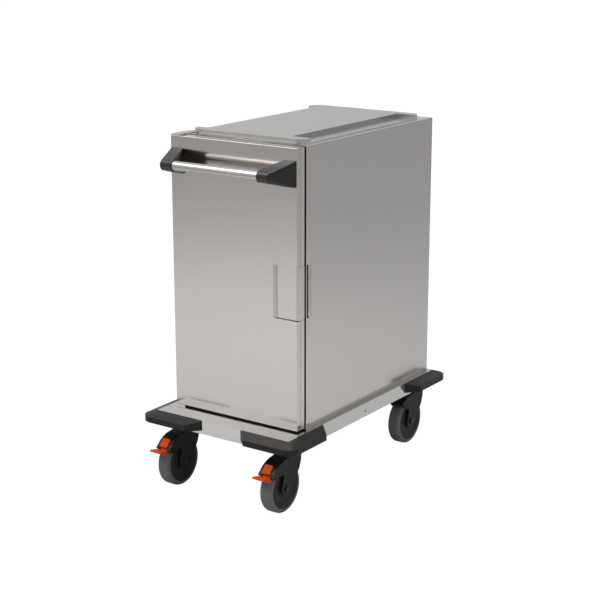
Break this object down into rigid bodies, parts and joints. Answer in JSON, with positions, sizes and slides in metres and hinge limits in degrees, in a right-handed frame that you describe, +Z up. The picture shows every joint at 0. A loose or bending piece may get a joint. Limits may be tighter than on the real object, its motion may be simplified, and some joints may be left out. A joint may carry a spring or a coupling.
{
  "type": "meal tray cart",
  "caption": "Enclosed stainless meal tray cart with a hinged door, push handle, recessed latch, raised top, corner bumpers and swivel castors.",
  "frame": {"origin": "on the floor, under the middle of the cart's bounding box", "axes": "+Z up, the door faces -Y, the latch side is +X"},
  "size_m": [0.596, 0.992, 1.147],
  "materials": {
    "satin_steel": "satin brushed stainless sheet",
    "bright_steel": "polished stainless tube and pins",
    "liner_steel": "smooth stainless lining",
    "zinc_steel": "zinc-plated steel",
    "black_plastic": "moulded black plastic, fine grain",
    "bumper_plastic": "moulded dark grey bumper plastic",
    "fork_plastic": "moulded dark grey castor plastic",
    "tyre_rubber": "solid grey tyre",
    "orange_plastic": "moulded orange pedal",
    "gasket_rubber": "black magnetic gasket",
    "foam": "rigid insulation foam"
  },
  "bodies": {
    "cabinet": {"base_pan": "satin_steel", "cross_rails": "zinc_steel", "castor_mounts": "zinc_steel", "fasteners": "zinc_steel", "bumper_front_left": "bumper_plastic", "bumper_front_right": "bumper_plastic", "bumper_rear_left": "bumper_plastic", "bumper_rear_right": "bumper_plastic", "side_panel_left": "satin_steel", "side_panel_right": "satin_steel", "back_panel": "satin_steel", "top_panel": "satin_steel", "cabinet_floor": "liner_steel", "front_frame": "satin_steel", "liner_left": "liner_steel", "liner_right": "liner_steel", "liner_back": "liner_steel", "liner_top": "liner_steel", "wall_insulation": "foam", "tray_rack_left": "liner_steel", "tray_rack_right": "liner_steel", "gallery": "satin_steel", "top_platform": "satin_steel", "keeper_bar": "gasket_rubber", "hinge_plate_top": "satin_steel", "hinge_foot_bottom": "satin_steel", "hinge_pins": "bright_steel"},
    "door": {"door_outer_pan": "satin_steel", "door_inner_pan": "liner_steel", "door_core": "foam", "door_gasket": "gasket_rubber", "door_sweep": "gasket_rubber", "hinge_blocks": "black_plastic", "latch_pocket": "satin_steel", "latch_pin": "bright_steel", "latch_spring": "zinc_steel", "handle_tube": "bright_steel", "handle_bracket_left": "black_plastic", "handle_bracket_right": "black_plastic", "handle_screws": "zinc_steel"},
    "latch": {"latch_lever": "satin_steel", "latch_pad": "gasket_rubber"},
    "castor_front_left": {"fork_front_left": "fork_plastic", "axle_front_left": "zinc_steel"},
    "wheel_front_left": {"hub_front_left": "fork_plastic", "tyre_front_left": "tyre_rubber"},
    "castor_front_right": {"fork_front_right": "fork_plastic", "axle_front_right": "zinc_steel"},
    "wheel_front_right": {"hub_front_right": "fork_plastic", "tyre_front_right": "tyre_rubber"},
    "castor_rear_left": {"fork_rear_left": "fork_plastic", "axle_rear_left": "zinc_steel"},
    "wheel_rear_left": {"hub_rear_left": "fork_plastic", "tyre_rear_left": "tyre_rubber"},
    "castor_rear_right": {"fork_rear_right": "fork_plastic", "axle_rear_right": "zinc_steel"},
    "wheel_rear_right": {"hub_rear_right": "fork_plastic", "tyre_rear_right": "tyre_rubber"},
    "pedal_body_left": {"pedal_left": "orange_plastic"},
    "pedal_body_right": {"pedal_right": "orange_plastic"}
  },
  "joints": [
    {"name": "door_hinge", "type": "hinge", "parent": "cabinet", "child": "door", "pos_m": [-0.227, -0.329, 0.6895], "axis": [0, 0, -1], "range_deg": [0, 160]},
    {"name": "latch_hinge", "type": "hinge", "parent": "door", "child": "latch", "pos_m": [0.1615, -0.326, 0.687], "axis": [0, 0, -1], "range_deg": [0, 10], "stiffness_Nm_per_rad": 1.2, "springref_deg": -20.05},
    {"name": "swivel_front_left", "type": "hinge", "parent": "cabinet", "child": "castor_front_left", "pos_m": [-0.202, -0.344, 0.178], "axis": [0, 0, 1], "continuous": true},
    {"name": "spin_front_left", "type": "hinge", "parent": "castor_front_left", "child": "wheel_front_left", "pos_m": [-0.202, -0.382, 0.08], "axis": [1, 0, 0], "continuous": true},
    {"name": "swivel_front_right", "type": "hinge", "parent": "cabinet", "child": "castor_front_right", "pos_m": [0.202, -0.344, 0.178], "axis": [0, 0, 1], "continuous": true},
    {"name": "spin_front_right", "type": "hinge", "parent": "castor_front_right", "child": "wheel_front_right", "pos_m": [0.202, -0.382, 0.08], "axis": [1, 0, 0], "continuous": true},
    {"name": "swivel_rear_left", "type": "hinge", "parent": "cabinet", "child": "castor_rear_left", "pos_m": [-0.202, 0.406, 0.178], "axis": [0, 0, 1], "continuous": true},
    {"name": "spin_rear_left", "type": "hinge", "parent": "castor_rear_left", "child": "wheel_rear_left", "pos_m": [-0.202, 0.368, 0.08], "axis": [1, 0, 0], "continuous": true},
    {"name": "swivel_rear_right", "type": "hinge", "parent": "cabinet", "child": "castor_rear_right", "pos_m": [0.202, 0.406, 0.178], "axis": [0, 0, 1], "continuous": true},
    {"name": "spin_rear_right", "type": "hinge", "parent": "castor_rear_right", "child": "wheel_rear_right", "pos_m": [0.202, 0.368, 0.08], "axis": [1, 0, 0], "continuous": true},
    {"name": "pedal_hinge_left", "type": "hinge", "parent": "castor_front_left", "child": "pedal_body_left", "pos_m": [-0.202, -0.44543, 0.14802], "axis": [1, 0, 0], "range_deg": [0, 8]},
    {"name": "pedal_hinge_right", "type": "hinge", "parent": "castor_front_right", "child": "pedal_body_right", "pos_m": [0.202, -0.44543, 0.14802], "axis": [1, 0, 0], "range_deg": [0, 8]}
  ]
}
